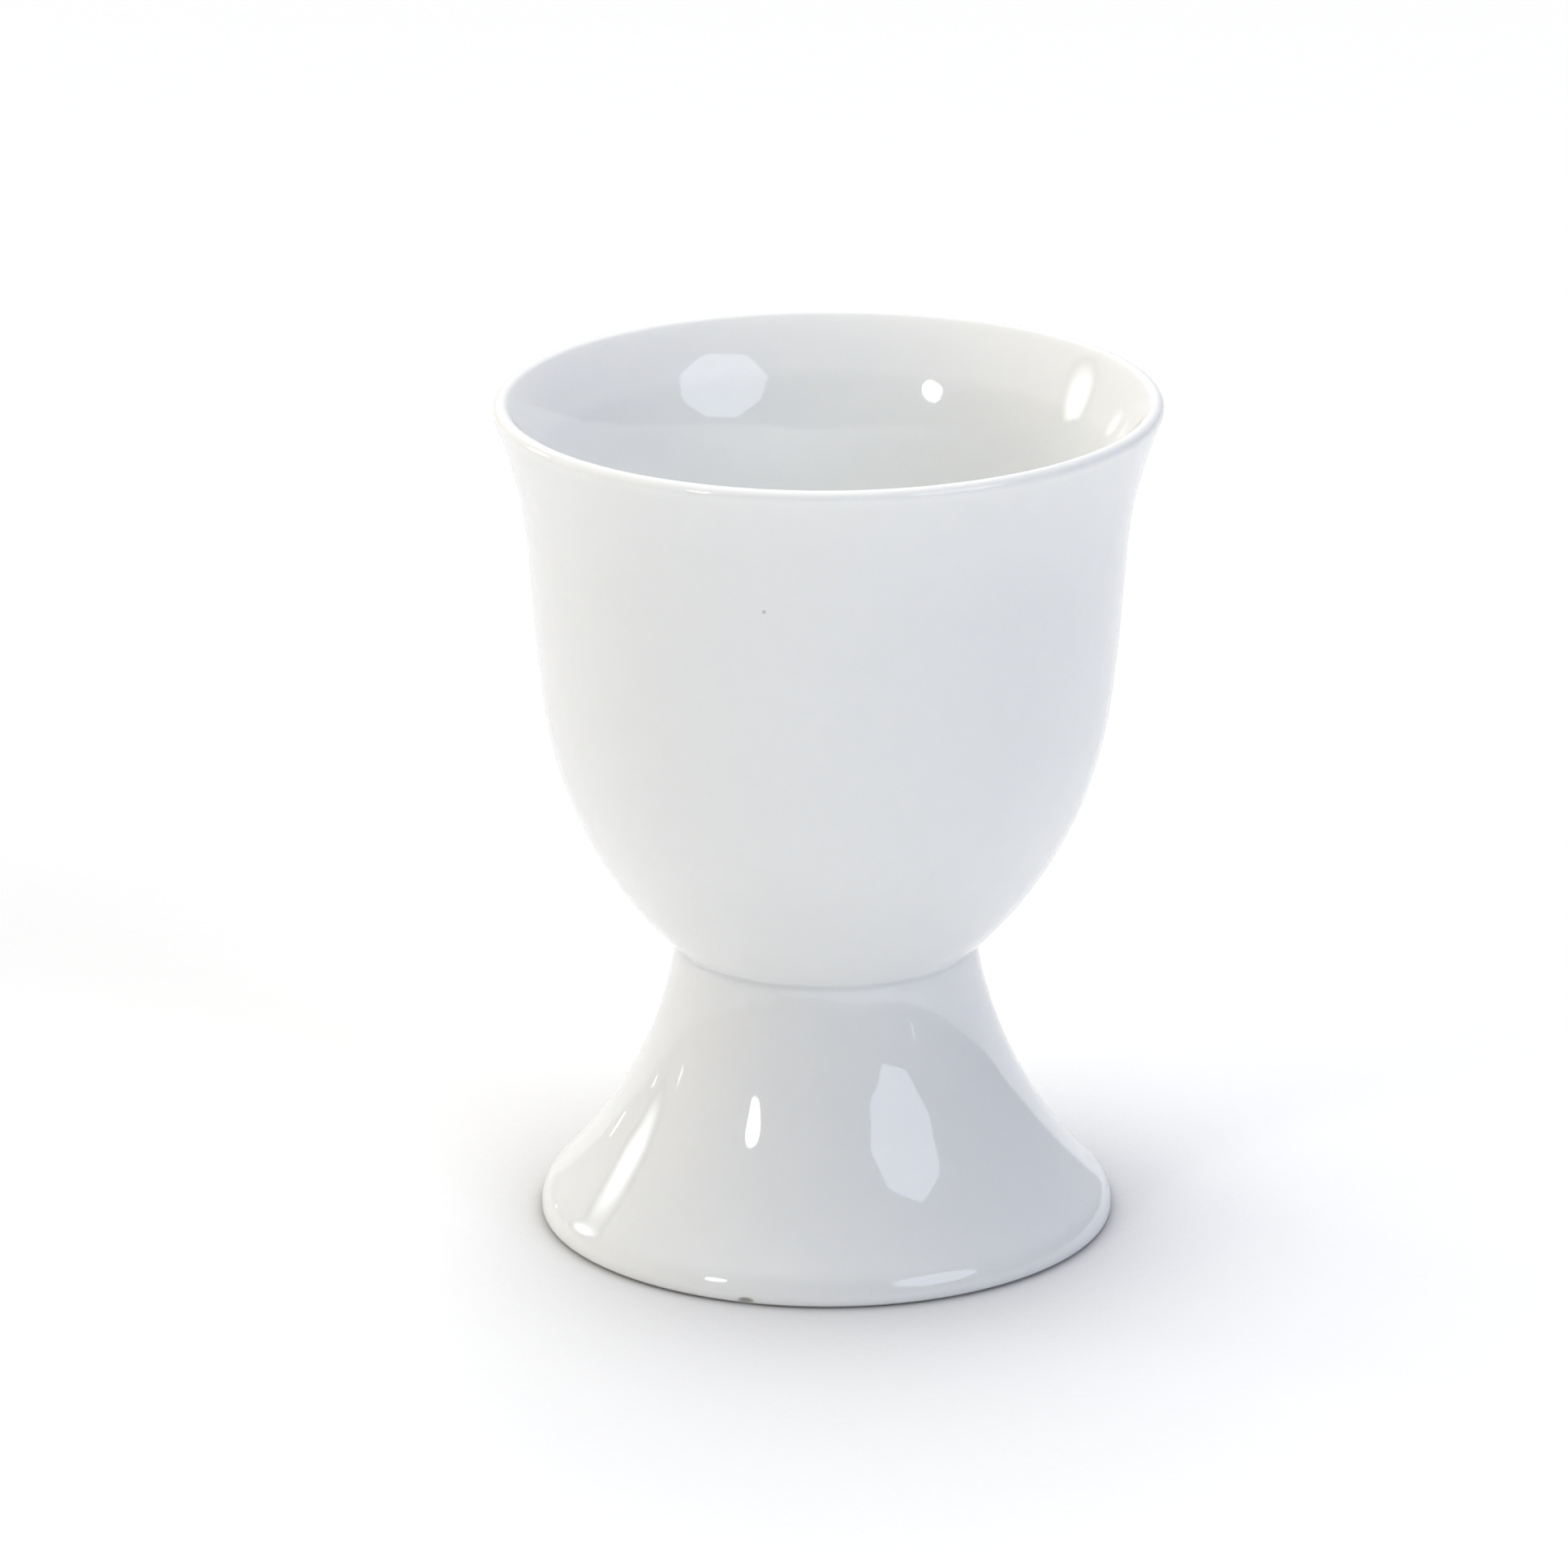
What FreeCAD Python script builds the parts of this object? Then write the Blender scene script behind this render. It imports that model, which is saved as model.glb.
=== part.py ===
"""Porcelain egg cup on a flared, hollow foot: 50 mm across the rim and 64.3 mm tall over the glaze.

Such a cup is stuck up from two clay pieces, a bowl and a foot. Luting slip bonds them at the waist. The fired
cup wears two glazes: the coat over the bowl and the outside of the foot, and the lining of the foot's well.
The ring that the cup stands on is wiped clean before firing, so it stays bare and parts the two.

Frame: millimetres, +Z up along the axis of the cup, origin on the table at the centre of the foot ring.
"""

import FreeCAD
import Part

import math
import os

import Sketcher

# Sizes of the bare porcelain, in millimetres. The glaze adds its own thickness to them.
SIZES = {
    # bowl, outside
    "cup_height": 64.15,
    "rim_dia": 49.7,
    "lip_radius": 0.5,
    "upper_dia": 44.5,
    "upper_height": 52.15,
    "belly_dia": 42.55,
    "belly_height": 41.2,
    "belly_radius": 31.6,
    "hip_dia": 24.0,
    "hip_height": 22.41,
    # bowl, inside
    "belly_wall": 2.8,
    "upper_wall": 2.7,
    "turn_dia": 40.8,
    "turn_height": 57.0,
    "lip_flare_radius": 18.5,
    "floor_height": 20.5,
    "floor_radius": 14.0,
    # foot, outside
    "neck_dia": 22.4,
    "waist_height": 21.8,
    "tenon_lap": 0.5,
    "tenon_dish": 2.3,
    "flare_radius": 34.85,
    "foot_dia": 43.4,
    "edge_radius": 2.6,
    "toe_radius": 0.4,
    # foot, inside
    "foot_wall": 2.2,
    "ledge_height": 18.1,
    "ledge_bore": 15.6,
    "corner_radius": 1.0,
    "nose_radius": 0.4,
    "well_top": 19.8,
    # joint and glaze
    "slip_gap": 0.3,
    "waist_bead": 0.45,
    "well_bead": 0.4,
    "glaze": 0.15,
    "wiped_height": 0.3,
    "wiping_dia": 60.0,
}

PARTS_FOLDER = "parts"
NODES = ("bowl", "foot", "luting_slip", "glaze_coat", "foot_well_glaze")

# Points of a sketch's stretch, and the sketch's own origin and vertical axis.
START, END, CENTRE = 1, 2, 3
ORIGIN = (-1, 1)
AXIS = -2


def size(name):
    return SIZES[name]


def half(name):
    return SIZES[name] / 2


def make_sheet(doc):
    """The spreadsheet that holds every size under its own alias."""
    sheet = doc.addObject("Spreadsheet::Sheet", "Dims")
    for row, (name, value) in enumerate(SIZES.items(), start=1):
        sheet.set(f"A{row}", name)
        sheet.set(f"B{row}", str(value))
        sheet.setAlias(f"B{row}", name)
    doc.recompute()


class Outline:
    """A closed outline in its own body, drawn in the XZ plane and turned about Z.

    Every stretch starts where the one before it ended. A point is (stretch, end). The first guess at each
    arc leaves the stretch before it smoothly, so the constraints have little left to settle.
    """

    def __init__(self, doc, name, across, up):
        self.body = doc.addObject("PartDesign::Body", name)
        self.sketch = self.body.newObject("Sketcher::SketchObject", name + "_outline")
        plane = next(f for f in self.body.Origin.OriginFeatures if f.Role == "XZ_Plane")
        self.sketch.AttachmentSupport = (plane, [""])
        self.sketch.MapMode = "FlatFace"
        self.at = FreeCAD.Vector(across, up, 0)
        self.heading = FreeCAD.Vector(1, 0, 0)
        self.first = None
        self.last = None

    def _join(self, geometry, smooth):
        index = self.sketch.addGeometry(geometry, False)
        ends = sorted((START, END), key=lambda e: self.sketch.getPoint(index, e).distanceToPoint(self.at))
        if self.last:
            kind = "Tangent" if smooth else "Coincident"
            self.sketch.addConstraint(Sketcher.Constraint(kind, *self.last, index, ends[0]))
        else:
            self.first = (index, ends[0])
        self.last = (index, ends[1])
        self.at = self.sketch.getPoint(*self.last)
        return self.last

    def line(self, across, up, smooth=False):
        """A straight stretch to a point. Returns its far end."""
        to = FreeCAD.Vector(across, up, 0)
        self.heading = (to - self.at).normalize()
        return self._join(Part.LineSegment(self.at, to), smooth)

    def arc(self, across, up):
        """An arc to a point, smooth with the stretch before it. Returns its far end."""
        to = FreeCAD.Vector(across, up, 0)
        chord = to - self.at
        along = FreeCAD.Vector(chord).normalize()
        left = FreeCAD.Vector(-along.y, along.x, 0)
        turn = math.atan2(self.heading.dot(left), self.heading.dot(along))
        middle = (self.at + to) * 0.5 + left * (math.tan(turn / 2) * chord.Length / 2)
        self.heading = along * math.cos(turn) - left * math.sin(turn)
        return self._join(Part.Arc(self.at, middle, to), True)

    def close(self):
        """Joins the last stretch to the first."""
        self.sketch.addConstraint(Sketcher.Constraint("Coincident", *self.last, *self.first))

    def rule(self, kind, *where):
        """A constraint without a value."""
        self.sketch.addConstraint(Sketcher.Constraint(kind, *where))

    def _drive(self, name, constraint, expression):
        number = self.sketch.addConstraint(constraint)
        self.sketch.renameConstraint(number, name)
        if expression:
            self.sketch.setExpression(f"Constraints.{name}", expression)
        else:
            self.sketch.setDriving(number, False)

    def across(self, name, point, expression):
        """Drives a point's distance from the axis."""
        value = self.sketch.getPoint(*point).x
        self._drive(name, Sketcher.Constraint("DistanceX", *ORIGIN, *point, value), expression)

    def up(self, name, point, expression=None):
        """Drives a point's height above the table, or only measures it."""
        value = self.sketch.getPoint(*point).y
        self._drive(name, Sketcher.Constraint("DistanceY", *ORIGIN, *point, value), expression)

    def radius(self, name, point, expression=None):
        """Drives the radius of the arc that the point ends, or only measures it."""
        value = self.sketch.Geometry[point[0]].Radius
        self._drive(name, Sketcher.Constraint("Radius", point[0], value), expression)

    def turn(self):
        """Turns the closed outline into the body's solid."""
        self.body.Document.recompute()
        solid = self.body.newObject("PartDesign::Revolution", self.body.Name + "_turned")
        solid.Profile = (self.sketch, [""])
        solid.ReferenceAxis = (self.sketch, ["V_Axis"])
        solid.Angle = 360.0
        self.body.Tip = solid
        return self.body


def centre(point):
    """The centre of the arc that the point ends."""
    return (point[0], CENTRE)


def on_circle(across, up, radius, degrees):
    """About where an arc ends: the point of a circle at an angle up from the horizontal."""
    angle = math.radians(degrees)
    return across + radius * math.cos(angle), up + radius * math.sin(angle)


def make_bowl(doc):
    """The bowl: a ball-shaped bottom, a full belly, nearly straight sides and an everted lip."""
    lip = size("lip_radius")
    lip_centre = (half("rim_dia") - lip, size("cup_height") - lip)
    ball = size("floor_radius")
    hip_slope = math.radians(45)
    apex = size("hip_height") - half("hip_dia") * math.tan(hip_slope / 2)
    out = Outline(doc, "bowl", 0, apex)

    bottom = out.arc(half("hip_dia"), size("hip_height"))
    belly = out.arc(half("belly_dia"), size("belly_height"))
    side = out.arc(half("upper_dia"), size("upper_height"))
    out.arc(*on_circle(*lip_centre, lip, degrees=-20))
    rim = out.arc(*on_circle(*lip_centre, lip, degrees=140))
    lip_flare = out.arc(half("turn_dia"), size("turn_height"))
    inner_upper = out.arc(half("upper_dia") - size("upper_wall"), size("upper_height"))
    inner_side = out.arc(half("belly_dia") - size("belly_wall"), size("belly_height"))
    out.arc(*on_circle(0, size("floor_height") + ball, ball, degrees=-45))
    floor = out.arc(0, size("floor_height"))
    out.line(0, apex)
    out.close()

    out.rule("PointOnObject", *out.first, AXIS)
    out.rule("PointOnObject", *centre(bottom), AXIS)
    out.across("hip_across", bottom, "Dims.hip_dia / 2")
    out.up("hip_up", bottom, "Dims.hip_height")
    out.radius("belly_round", belly, "Dims.belly_radius")
    out.across("belly_across", belly, "Dims.belly_dia / 2")
    out.up("belly_up", belly, "Dims.belly_height")
    out.across("upper_across", side, "Dims.upper_dia / 2")
    out.up("upper_up", side, "Dims.upper_height")
    out.radius("lip_round", rim, "Dims.lip_radius")
    out.across("rim_across", centre(rim), "Dims.rim_dia / 2 - Dims.lip_radius")
    out.up("rim_up", centre(rim), "Dims.cup_height - Dims.lip_radius")
    out.radius("lip_flare_round", lip_flare, "Dims.lip_flare_radius")
    out.across("turn_across", lip_flare, "Dims.turn_dia / 2")
    out.up("turn_up", lip_flare, "Dims.turn_height")
    out.across("inner_upper_across", inner_upper, "Dims.upper_dia / 2 - Dims.upper_wall")
    out.up("inner_upper_up", inner_upper, "Dims.upper_height")
    out.across("inner_belly_across", inner_side, "Dims.belly_dia / 2 - Dims.belly_wall")
    out.up("inner_belly_up", inner_side, "Dims.belly_height")
    out.rule("PointOnObject", *floor, AXIS)
    out.rule("PointOnObject", *centre(floor), AXIS)
    out.radius("floor_round", floor, "Dims.floor_radius")
    out.up("floor_up", floor, "Dims.floor_height")
    out.radius("bottom_round", bottom)
    out.up("bottom_centre_up", centre(bottom))
    return out.turn()


def make_foot_form(doc):
    """The outside of the foot as a solid, with a tenon that reaches into the bottom of the bowl."""
    toe = size("toe_radius")
    roll = size("edge_radius")
    tenon = size("waist_height") + size("tenon_lap")
    out = Outline(doc, "foot_form", 0, 0)

    ring = out.line(half("foot_dia") - toe, 0)
    toe_end = out.arc(half("foot_dia"), toe)
    edge = out.arc(*on_circle(half("foot_dia") - roll, toe, roll, degrees=45))
    flare = out.arc(half("neck_dia"), tenon)
    dish = out.line(0, tenon - size("tenon_dish"))
    out.line(0, 0)
    out.close()

    out.rule("Coincident", *out.first, *ORIGIN)
    out.rule("Horizontal", ring[0])
    out.rule("PointOnObject", *dish, AXIS)
    out.radius("toe_round", toe_end, "Dims.toe_radius")
    out.radius("edge_round", edge, "Dims.edge_radius")
    out.up("edge_centre_up", centre(edge), "Dims.toe_radius")
    out.across("edge_centre_across", centre(edge), "Dims.foot_dia / 2 - Dims.edge_radius")
    out.radius("flare_round", flare, "Dims.flare_radius")
    out.across("neck_across", flare, "Dims.neck_dia / 2")
    out.up("tenon_up", flare, "Dims.waist_height + Dims.tenon_lap")
    out.up("dish_up", dish, "Dims.waist_height + Dims.tenon_lap - Dims.tenon_dish")
    out.up("flare_centre_up", centre(flare))
    return out.turn()


def make_well_form(doc):
    """The air in the hollow of the foot, up through the bored ledge that carries the bowl."""
    toe = size("toe_radius")
    nose = size("nose_radius")
    corner = size("corner_radius")
    bore = half("ledge_bore")
    ledge = size("ledge_height")
    mouth = half("foot_dia") - size("foot_wall")
    roll = size("edge_radius") - size("foot_wall")
    out = Outline(doc, "well_form", 0, size("well_top"))

    top = out.line(bore, size("well_top"))
    bored = out.line(bore, ledge + nose)
    nosed = out.arc(bore + nose, ledge)
    shelf = out.line(bore + 2 * nose, ledge, smooth=True)
    cornered = out.arc(*on_circle(bore + 2 * nose, ledge - corner, corner, degrees=15))
    flare = out.arc(*on_circle(mouth - roll, toe, roll, degrees=45))
    edge = out.arc(mouth, toe)
    heel = out.arc(mouth + toe, 0)
    table = out.line(0, 0, smooth=True)
    out.line(0, size("well_top"))
    out.close()

    out.rule("PointOnObject", *out.first, AXIS)
    out.rule("Horizontal", top[0])
    out.up("top_up", top, "Dims.well_top")
    out.across("bore_across", top, "Dims.ledge_bore / 2")
    out.rule("Vertical", bored[0])
    out.radius("nose_round", nosed, "Dims.nose_radius")
    out.rule("Horizontal", shelf[0])
    out.up("ledge_up", shelf, "Dims.ledge_height")
    out.radius("corner_round", cornered, "Dims.corner_radius")
    out.radius("flare_round", flare, "Dims.flare_radius + Dims.foot_wall")
    out.up("flare_centre_up", centre(flare), "foot_form_outline.Constraints.flare_centre_up")
    out.radius("edge_round", edge, "Dims.edge_radius - Dims.foot_wall")
    out.up("edge_centre_up", centre(edge), "Dims.toe_radius")
    out.across("edge_centre_across", centre(edge), "Dims.foot_dia / 2 - Dims.edge_radius")
    out.radius("heel_round", heel, "Dims.toe_radius")
    out.rule("Horizontal", table[0])
    out.rule("Coincident", *table, *ORIGIN)
    return out.turn()


def combine(doc, kind, name, base, tool):
    """A boolean of two objects, Part::Cut, Part::Common or Part::Fuse."""
    made = doc.addObject(kind, name)
    made.Base = base
    made.Tool = tool
    doc.recompute()
    return made


def make_foot(doc, foot_form, well_form):
    """The hollow foot. The bottom of the bowl, grown by the slip, scoops its seat out of the top."""
    blank = combine(doc, "Part::Cut", "foot_blank", foot_form, well_form)
    seat = doc.addObject("Part::Sphere", "seat_ball")
    seat.setExpression("Radius", "bowl_outline.Constraints.bottom_round + Dims.slip_gap * 1 mm")
    seat.setExpression("Placement.Base.z", "bowl_outline.Constraints.bottom_centre_up")
    return blank, combine(doc, "Part::Cut", "foot", blank, seat)


def crease(shape, radius, height):
    """The number of the shape's round edge that runs nearest to a radius and a height."""
    def miss(item):
        box = item[1].BoundBox
        return abs(box.XMax - radius) + abs(box.ZMin - height) + box.ZLength
    return min(enumerate(shape.Edges, start=1), key=miss)[0]


def join_with_beads(doc, name, bowl, blank, thickness):
    """Bowl and foot blank in one, with a rounded bead where they meet at the waist and in the well."""
    joined = combine(doc, "Part::Fuse", name + "_joined", bowl, blank)
    waist = crease(joined.Shape, half("neck_dia") + thickness, size("waist_height"))
    inside = crease(joined.Shape, half("ledge_bore") - thickness, size("well_top") - thickness)
    beads = ((waist, size("waist_bead")), (inside, size("well_bead")))
    beaded = doc.addObject("Part::Fillet", name)
    beaded.Base = joined
    beaded.Edges = [(edge, bead - thickness, bead - thickness) for edge, bead in beads]
    doc.recompute()
    return beaded


def make_luting_slip(doc, luted, bowl, foot):
    """The slip between bowl and foot, with its two beads: all of the joined cup that is neither."""
    without_bowl = combine(doc, "Part::Cut", "foot_and_slip", luted, bowl)
    combine(doc, "Part::Cut", "luting_slip", without_bowl, foot)


def grow(doc, name, source):
    """A piece grown on all sides by the thickness of the glaze."""
    grown = doc.addObject("Part::Offset", name)
    grown.Source = source
    grown.setExpression("Value", "Dims.glaze")
    doc.recompute()
    return grown


def make_glazes(doc, luted, bowl, blank, well_form):
    """The glaze all over the cup, wiped off the ring that it stands on and so in two layers."""
    grown_bowl = grow(doc, "grown_bowl", bowl)
    grown_blank = grow(doc, "grown_blank", blank)
    glazed = join_with_beads(doc, "glazed_form", grown_bowl, grown_blank, size("glaze"))
    dipped = combine(doc, "Part::Cut", "dipped", glazed, luted)
    sponge = doc.addObject("Part::Cylinder", "sponge")
    sponge.setExpression("Radius", "Dims.wiping_dia / 2")
    sponge.setExpression("Height", "Dims.toe_radius + Dims.wiped_height")
    sponge.setExpression("Placement.Base.z", "-Dims.toe_radius")
    wiped = combine(doc, "Part::Cut", "wiped", dipped, sponge)
    combine(doc, "Part::Cut", "glaze_coat", wiped, well_form)
    combine(doc, "Part::Common", "foot_well_glaze", wiped, well_form)


def check(doc):
    """Stops if any object of the document is in error, or has no valid shape."""
    for item in doc.Objects:
        bad = [state for state in item.State if state in ("Invalid", "Error")]
        if bad:
            raise RuntimeError(f"{item.Name} is {bad}")
        if hasattr(item, "Shape") and item.TypeId.startswith("Part"):
            if item.Shape.isNull() or not item.Shape.isValid():
                raise RuntimeError(f"{item.Name} has no valid shape")
        if item.TypeId == "Sketcher::SketchObject" and not item.FullyConstrained:
            raise RuntimeError(f"{item.Name} is not fully constrained: {item.solve()}")


def main():
    doc = FreeCAD.newDocument("egg_cup")
    make_sheet(doc)
    bowl = make_bowl(doc)
    foot_form = make_foot_form(doc)
    well_form = make_well_form(doc)
    doc.recompute()
    blank, foot = make_foot(doc, foot_form, well_form)
    luted = join_with_beads(doc, "luted", bowl, blank, 0)
    make_luting_slip(doc, luted, bowl, foot)
    make_glazes(doc, luted, bowl, blank, well_form)
    doc.recompute()
    check(doc)

    os.makedirs(PARTS_FOLDER, exist_ok=True)
    for node in NODES:
        item = doc.getObject(node)
        item.Label = node
        shape = item.Shape
        print(node, "solids", len(shape.Solids), "volume", round(shape.Volume, 2), shape.BoundBox)
        shape.exportStep(os.path.join(PARTS_FOLDER, node + ".step"))


main()
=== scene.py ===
"""The looks of a white glazed porcelain egg cup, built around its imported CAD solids.

The cup is three turned pieces that fit together: the bowl, the foot and the luting slip
that joins them. Each is the outline of the finished, glazed surface turned round the axis,
with the small unevenness that casting and firing leave. Outlines are in millimetres, as
(radius, height) points with the clay on the left of the way they run.
"""

import math

import bpy
import numpy as np
from mathutils import Matrix, Vector


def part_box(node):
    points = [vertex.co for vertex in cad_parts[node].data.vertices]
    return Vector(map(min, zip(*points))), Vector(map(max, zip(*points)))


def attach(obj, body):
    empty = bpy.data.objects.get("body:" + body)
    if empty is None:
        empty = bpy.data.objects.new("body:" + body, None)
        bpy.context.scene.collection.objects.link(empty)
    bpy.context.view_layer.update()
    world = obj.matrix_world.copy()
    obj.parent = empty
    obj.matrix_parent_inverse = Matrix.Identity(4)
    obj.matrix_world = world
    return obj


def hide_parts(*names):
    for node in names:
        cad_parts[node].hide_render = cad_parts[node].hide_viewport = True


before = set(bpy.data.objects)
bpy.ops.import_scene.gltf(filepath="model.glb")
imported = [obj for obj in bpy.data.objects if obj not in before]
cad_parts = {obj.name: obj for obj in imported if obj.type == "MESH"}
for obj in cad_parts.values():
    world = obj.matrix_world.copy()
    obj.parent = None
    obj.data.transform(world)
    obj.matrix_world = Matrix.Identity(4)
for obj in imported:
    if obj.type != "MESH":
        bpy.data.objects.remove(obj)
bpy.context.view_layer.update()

MM = 0.001
BODY = "root"

# ---------------------------------------------------------------- sizes, in millimetres

SIZES = {
    "lip_radius": 0.5,
    "upper_dia": 44.5,
    "upper_height": 52.15,
    "belly_dia": 42.55,
    "belly_height": 41.2,
    "belly_radius": 31.6,
    "hip_dia": 24.0,
    "hip_height": 22.41,
    "belly_wall": 2.8,
    "upper_wall": 2.7,
    "turn_dia": 40.8,
    "turn_height": 57.0,
    "lip_flare_radius": 18.5,
    "floor_height": 20.5,
    "floor_radius": 14.0,
    "neck_dia": 22.4,
    "neck_height": 22.3,
    "flare_radius": 34.85,
    "edge_radius": 2.6,
    "toe_radius": 0.4,
    "foot_wall": 2.2,
    "ledge_height": 18.1,
    "ledge_bore": 15.6,
    "corner_radius": 1.0,
    "nose_radius": 0.4,
    "slip_gap": 0.3,
    "waist_bead": 0.3,
    "well_bead": 0.25,
    "glaze": 0.15,
    "wiped_height": 0.3,
}

RIM_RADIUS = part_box("bowl")[1].x / MM
CUP_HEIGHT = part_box("bowl")[1].z / MM
FOOT_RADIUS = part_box("foot")[1].x / MM

# how finely outlines are stepped and turned, and how close two points are when they count as one
SEGMENTS = 288
LONGEST_STEP = 0.42
SHARPEST_TURN = math.radians(9.0)
SHARP_EDGE = math.radians(50.0)
POINT_GAP = 1e-4
CLOSING_GAP = 1e-3
AXIS_GUARD = 0.1


def size(name):
    """A size of the cup, in millimetres."""
    return SIZES[name]


def half(name):
    """Half of a size, for the radius of a named diameter."""
    return SIZES[name] / 2.0


# ---------------------------------------------------------------- flat geometry


def point(across, up):
    """A point of an outline: its distance from the axis and its height."""
    return np.array([across, up], float)


def towards(start, end):
    """The unit direction from one point to another."""
    way = end - start
    return way / math.hypot(*way)


def where_circles_meet(centre_a, radius_a, centre_b, radius_b, near):
    """The point at both distances from two centres that lies nearer to a given point."""
    gap = math.hypot(*(centre_b - centre_a))
    along = (radius_a**2 - radius_b**2 + gap**2) / (2.0 * gap)
    off = math.sqrt(max(radius_a**2 - along**2, 0.0))
    way = towards(centre_a, centre_b)
    foot = centre_a + along * way
    side = point(-way[1], way[0])
    choices = [foot + off * side, foot - off * side]
    return min(choices, key=lambda place: math.hypot(*(place - near)))


def circle_through(start, normal, other):
    """Centre and radius of the circle that has its centre on the normal at start and passes other."""
    span = other - start
    radius = (span @ span) / (2.0 * (normal @ span))
    return start + radius * normal, abs(radius)


def circle_touching(start, normal, centre, radius):
    """Centre and radius of the circle tangent at start that touches another from outside."""
    span = centre - start
    reach = (span @ span - radius**2) / (2.0 * (radius + normal @ span))
    return start + reach * normal, abs(reach)


class Arc:
    """A round stretch of the bare outline. side is 1 where the clay is inside it, else -1."""

    def __init__(self, centre, radius, start, end, side):
        self.centre = centre
        self.radius = radius
        self.start = start
        self.end = end
        self.side = side

    def on(self, place, growth=0.0):
        """The point of the arc, grown by the glaze, that faces a given place."""
        return self.centre + (self.radius + self.side * growth) * towards(self.centre, place)

    def points(self, growth=0.0, start=None, end=None):
        """Points along the arc, grown by the glaze, between the directions of two places."""
        first = (self.start if start is None else start) - self.centre
        last = (self.end if end is None else end) - self.centre
        angle = math.atan2(first[1], first[0])
        turn = math.atan2(last[1], last[0]) - angle
        turn = (turn + math.pi) % (2.0 * math.pi) - math.pi
        reach = self.radius + self.side * growth
        steps = max(abs(turn) * reach / LONGEST_STEP, abs(turn) / SHARPEST_TURN)
        angles = angle + turn * np.linspace(0.0, 1.0, max(2, math.ceil(steps)) + 1)
        ring = np.stack([np.cos(angles), np.sin(angles)], axis=1)
        return self.centre + reach * ring


def straight(start, end):
    """Points along a straight stretch."""
    steps = max(1, math.ceil(math.hypot(*(end - start)) / LONGEST_STEP))
    share = np.linspace(0.0, 1.0, steps + 1)[:, None]
    return start + share * (end - start)


def joined(*stretches):
    """One outline from its stretches, without repeated points."""
    path = np.concatenate(stretches)
    keep = [0]
    for index in range(1, len(path)):
        if math.hypot(*(path[index] - path[keep[-1]])) > POINT_GAP:
            keep.append(index)
    return path[keep]


# ---------------------------------------------------------------- the bare outlines


def bowl_arcs():
    """The arcs of the bare bowl, from the middle of its underside over the lip to its floor."""
    hip = point(half("hip_dia"), size("hip_height"))
    belly = point(half("belly_dia"), size("belly_height"))
    upper = point(half("upper_dia"), size("upper_height"))
    lip = point(RIM_RADIUS - size("lip_radius"), CUP_HEIGHT - size("lip_radius"))
    inner_belly = belly - point(size("belly_wall"), 0.0)
    inner_upper = upper - point(size("upper_wall"), 0.0)
    turn = point(half("turn_dia"), size("turn_height"))
    floor = point(0.0, size("floor_height") + size("floor_radius"))

    belly_centre = where_circles_meet(
        hip, size("belly_radius"), belly, size("belly_radius"), point(0.0, belly[1])
    )
    slope = towards(belly_centre, hip)
    ball_centre = hip - slope * (hip[0] / slope[0])
    ball_radius = math.hypot(*(hip - ball_centre))
    bottom = ball_centre - point(0.0, ball_radius)
    side_centre, side_radius = circle_through(belly, towards(belly, belly_centre), upper)
    out = towards(side_centre, upper)
    flare_centre, flare_radius = circle_touching(upper, out, lip, size("lip_radius"))
    lip_outside = lip + size("lip_radius") * towards(lip, flare_centre)

    lip_flare_radius = size("lip_flare_radius")
    lip_flare_centre = where_circles_meet(
        turn,
        lip_flare_radius,
        lip,
        lip_flare_radius - size("lip_radius"),
        point(2.0 * RIM_RADIUS, 0.0),
    )
    lip_inside = lip - size("lip_radius") * towards(lip, lip_flare_centre)
    out = towards(turn, lip_flare_centre)
    inner_upper_centre, inner_upper_radius = circle_through(turn, out, inner_upper)
    inward = towards(inner_upper_centre, inner_upper)
    inner_side_centre, inner_side_radius = circle_through(inner_upper, inward, inner_belly)
    inward = towards(inner_belly, inner_side_centre)
    wall_centre, wall_radius = circle_touching(
        inner_belly, inward, floor, -size("floor_radius")
    )
    floor_edge = floor + size("floor_radius") * towards(wall_centre, floor)
    floor_middle = point(0.0, size("floor_height"))
    return {
        "ball": Arc(ball_centre, ball_radius, bottom, hip, 1),
        "belly": Arc(belly_centre, size("belly_radius"), hip, belly, 1),
        "side": Arc(side_centre, side_radius, belly, upper, 1),
        "flare": Arc(flare_centre, flare_radius, upper, lip_outside, -1),
        "lip": Arc(lip, size("lip_radius"), lip_outside, lip_inside, 1),
        "lip_flare": Arc(lip_flare_centre, lip_flare_radius, lip_inside, turn, 1),
        "inner_upper": Arc(inner_upper_centre, inner_upper_radius, turn, inner_upper, 1),
        "inner_side": Arc(inner_side_centre, inner_side_radius, inner_upper, inner_belly, -1),
        "inner_wall": Arc(wall_centre, wall_radius, inner_belly, floor_edge, -1),
        "floor": Arc(floor, size("floor_radius"), floor_edge, floor_middle, -1),
    }


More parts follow.
